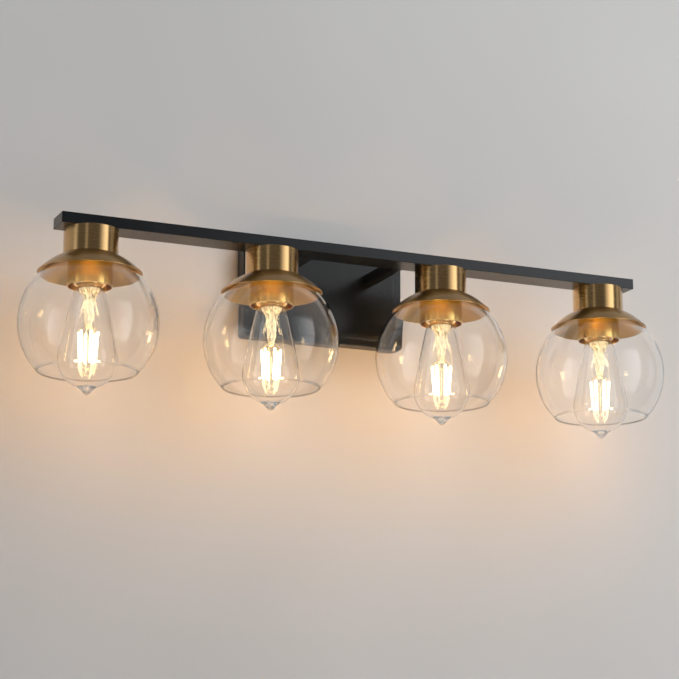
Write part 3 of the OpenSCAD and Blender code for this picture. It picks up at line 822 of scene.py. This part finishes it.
def make_bulb_inside(i):
    """Glass stem with its flare, the lead wires, and the lit filaments."""
    origin = light_origin(i)
    outline_mm = ((11.2, -66), (9.6, -69), (7.2, -73), (5.9, -78), (5.4, -86), (5.0, -95),
                  (4.3, -99), (3.6, -102), (3.4, -105), (2.4, -107.4), (0.0, -108))
    stem = [(11.2 * MM, CAP_BOTTOM + 12 * MM)] + [(r * MM, z * MM) for r, z in outline_mm]
    mesh = lathe(f"stem_{i}", eased(stem, 1.2 * MM, closed=False), closed=False, segments=64)
    piece(f"stem_{i}", mesh, STEM_GLASS, f"bulb_{i}", (), origin)

    top_r, top_z = FILAMENT_TOP
    bottom_r, bottom_z = FILAMENT_BOTTOM
    wires, lit = bmesh.new(), bmesh.new()
    tube(wires, [on_axis(-106 * MM), on_axis(bottom_z)], 0.3 * MM)
    for k in range(FILAMENTS):
        a = TURN * (k + 0.5) / FILAMENTS
        out = Vector((math.cos(a), math.sin(a), 0))
        high = out * top_r + on_axis(top_z)
        low = out * bottom_r + on_axis(bottom_z)
        tube(lit, [high.lerp(low, t / 6) for t in range(7)], 1.15 * MM, sides=14)
        neck = out * 2.4 * MM + on_axis(-104 * MM)
        upper_lead = [neck, neck + out * 3 * MM + on_axis(-2 * MM), high + on_axis(1.6 * MM), high]
        tube(wires, upper_lead, 0.28 * MM, sides=8)
        lower_lead = [low, low + on_axis(-1.2 * MM), low * 0.5 + on_axis(bottom_z * 0.5 - 0.8 * MM),
                      on_axis(bottom_z)]
        tube(wires, lower_lead, 0.2 * MM, sides=8)
    piece(f"filaments_lit_{i}", mesh_of(f"filaments_lit_{i}", lit), PHOSPHOR, f"bulb_{i}",
          [f"bulb_filaments_{i}"], origin)
    piece(f"lead_wires_{i}", mesh_of(f"lead_wires_{i}", wires), LEAD_WIRE, f"bulb_{i}", (),
          origin)


def dress_cad_nodes():
    """Pieces whose CAD shape is right keep it, with a better material."""
    finishes = {
        "cover_screws": BLACK, "arm_nipples": ZINC, "arm_nuts": ZINC, "mounting_plate": BLACK,
        "plate_screws": BLACK, "ground_screw": GREEN, "wire_nuts": ORANGE, "wiring": JACKET,
        "nipples": ZINC, "nipple_nuts": ZINC, "shade_washers": SILICONE, "centre_contacts": BRIGHT_BRASS,
    }
    for i in LIGHTS:
        finishes[f"bulb_contact_{i}"] = BRIGHT_BRASS
        finishes[f"bulb_insulator_{i}"] = VITRITE
    for node, material in finishes.items():
        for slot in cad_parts[node].material_slots:
            slot.material = material


# ---------------------------------------------------------------- room, lights and camera


def make_room():
    """Pale wall just behind the plate and a pale floor well below, neither part of the object."""
    wall_paint = painted_wall("room_wall", colour(0.56, 0.545, 0.53), colour(0.60, 0.585, 0.57))
    floor_paint = painted_wall("room_floor", colour(0.62, 0.60, 0.58), colour(0.66, 0.645, 0.63))
    for name, place, turn, paint in (("wall", (0, 0.0006, 0), (90, 0, 0), wall_paint),
                                     ("floor", (0, -4.0, -1.9), (0, 0, 0), floor_paint)):
        bpy.ops.mesh.primitive_plane_add(size=16, location=place,
                                         rotation=[math.radians(a) for a in turn])
        plane = bpy.context.object
        plane.name = name
        plane.data.materials.append(paint)
        plane.visible_shadow = False


def place_lamp(name, data, place, aim=None, **shown):
    """Puts a lamp in the scene, unseen by the camera. shown says which other rays see it."""
    lamp = bpy.data.objects.new(name, data)
    bpy.context.collection.objects.link(lamp)
    lamp.location = place
    if aim is not None:
        lamp.rotation_euler = (Vector(aim) - Vector(place)).to_track_quat("-Z", "Y").to_euler()
    lamp.visible_camera = False
    for ray, seen in shown.items():
        setattr(lamp, ray, seen)


def soften(data, ramps):
    """Lets a panel of light fade at its edges.

    ramps: across the panel and then up it, the share of the way where it is first fully lit, and
    the share where it starts to fade again.
    """
    data.use_nodes = True
    n = Nodes(data.node_tree)
    across = n.split(n.add("ShaderNodeNewGeometry").outputs["Parametric"])
    factor = 1.0
    for axis, (rise, fall) in enumerate(ramps):
        for edge, inside in ((0.0, rise), (1.0, fall)):
            lit = n.remap(across[axis], 0.0, 1.0, low=edge, high=inside, interpolation="SMOOTHSTEP")
            factor = n.math("MULTIPLY", lit, factor)
    n.link(factor, n.tree.nodes["Emission"].inputs["Strength"])


def add_panel(name, place, radiance, width, height, tint, ramps=None, **shown):
    """Rectangle of light turned towards the object, by the brightness of its face."""
    data = bpy.data.lights.new(name, "AREA")
    data.shape = "RECTANGLE"
    data.size, data.size_y = width, height
    data.energy = 4 * radiance * width * height
    data.color = tint
    if ramps:
        soften(data, ramps)
    place_lamp(name, data, place, (0, -0.1, -0.05), **shown)


def add_point(name, place, radius, power, tint, **shown):
    """Part of one bulb's light."""
    data = bpy.data.lights.new(name, "POINT")
    data.shadow_soft_size = radius
    data.energy = power
    data.color = tint
    place_lamp(name, data, place, visible_transmission=False, **shown)


def make_lights():
    """Soft daylight from the right and above, and the warm light of the four bulbs."""
    day, warm_day = (0.95, 0.975, 1.0), (1.0, 0.98, 0.95)
    glow, gleam = (1.0, 0.46, 0.08), (1.0, 0.86, 0.36)
    soft = ((0.84, 0.9), (0.18, 0.82))
    faint = ((0.4, 0.6), (0.3, 0.7))
    add_panel("front_right_softbox", (0.975, -1.79, -0.1), 1.65, 1.78, 2.7, day, soft)
    add_panel("right_panel", (2.2, -0.7, 0.0), 0.4, 1.0, 1.8, day, faint)
    add_panel("left_panel", (-2.2, -0.35, 0.0), 0.7, 0.9, 1.8, day, faint)
    add_panel("front_left_panel", (-1.48, -1.81, 0.0), 0.5, 0.5, 1.8, day, faint)
    add_panel("top_softbox", (1.3, -2.8, 2.2), 2.75, 3.0, 3.0, day,
              visible_glossy=False, visible_transmission=False)
    add_panel("back_softbox", (0.5, 2.4, 1.4), 2.4, 1.8, 1.8, warm_day)

    top_z, bottom_z = FILAMENT_TOP[1], FILAMENT_BOTTOM[1]
    for i in LIGHTS:
        middle = light_origin(i) + on_axis((top_z + bottom_z) / 2)
        for k in (-1, 1):
            place = middle + on_axis(k * (top_z - bottom_z) / 4)
            add_point(f"bulb_glow_{i}_{k}", place, 5 * MM, 0.235, glow, visible_glossy=False)
            add_point(f"bulb_gleam_{i}_{k}", place, 7 * MM, 0.13, gleam, visible_diffuse=False)


def make_world():
    """Dim even light all round, brighter where it is seen through glass."""
    world = bpy.data.worlds.new("soft_room")
    bpy.context.scene.world = world
    world.use_nodes = True
    n = Nodes(world.node_tree)
    background = n.tree.nodes["Background"]
    background.inputs["Color"].default_value = colour(0.95, 0.96, 1.0)
    through_glass = n.add("ShaderNodeLightPath").outputs["Is Transmission Ray"]
    n.link(n.remap(through_glass, 0.12, 0.5, low=0.0, high=1.0), background.inputs["Strength"])


def make_camera():
    """The photo's view. Place, turn and lens come from fitting the frame to the photo."""
    data = bpy.data.cameras.new("camera")
    data.sensor_width = 36
    data.lens = 107.88
    data.clip_start = 0.05
    data.clip_end = 60
    camera = bpy.data.objects.new("camera", data)
    bpy.context.collection.objects.link(camera)
    camera.location = (-0.9067, -2.1456, -0.5887)
    camera.rotation_euler = Euler([math.radians(a) for a in (103.058, -0.095, -23.628)])
    bpy.context.scene.camera = camera


def set_view():
    """Plain colours, and enough bounces for light to pass the glass."""
    bounces = 20
    bpy.context.scene.view_settings.view_transform = "Standard"
    cycles = bpy.context.scene.cycles
    cycles.max_bounces = bounces
    cycles.transmission_bounces = bounces
    cycles.glossy_bounces = bounces
    cycles.transparent_max_bounces = bounces


# ---------------------------------------------------------------- build

make_camera()
set_view()
make_bar()
make_arms()
make_wall_plate()
make_screw_shells()
for light in LIGHTS:
    make_cup(light)
    make_dish(light)
    make_sleeve(light)
    make_holder(light)
    make_shade(light)
    make_bulb_glass(light)
    make_bulb_cap(light)
    make_bulb_inside(light)
dress_cad_nodes()
make_room()
make_lights()
make_world()
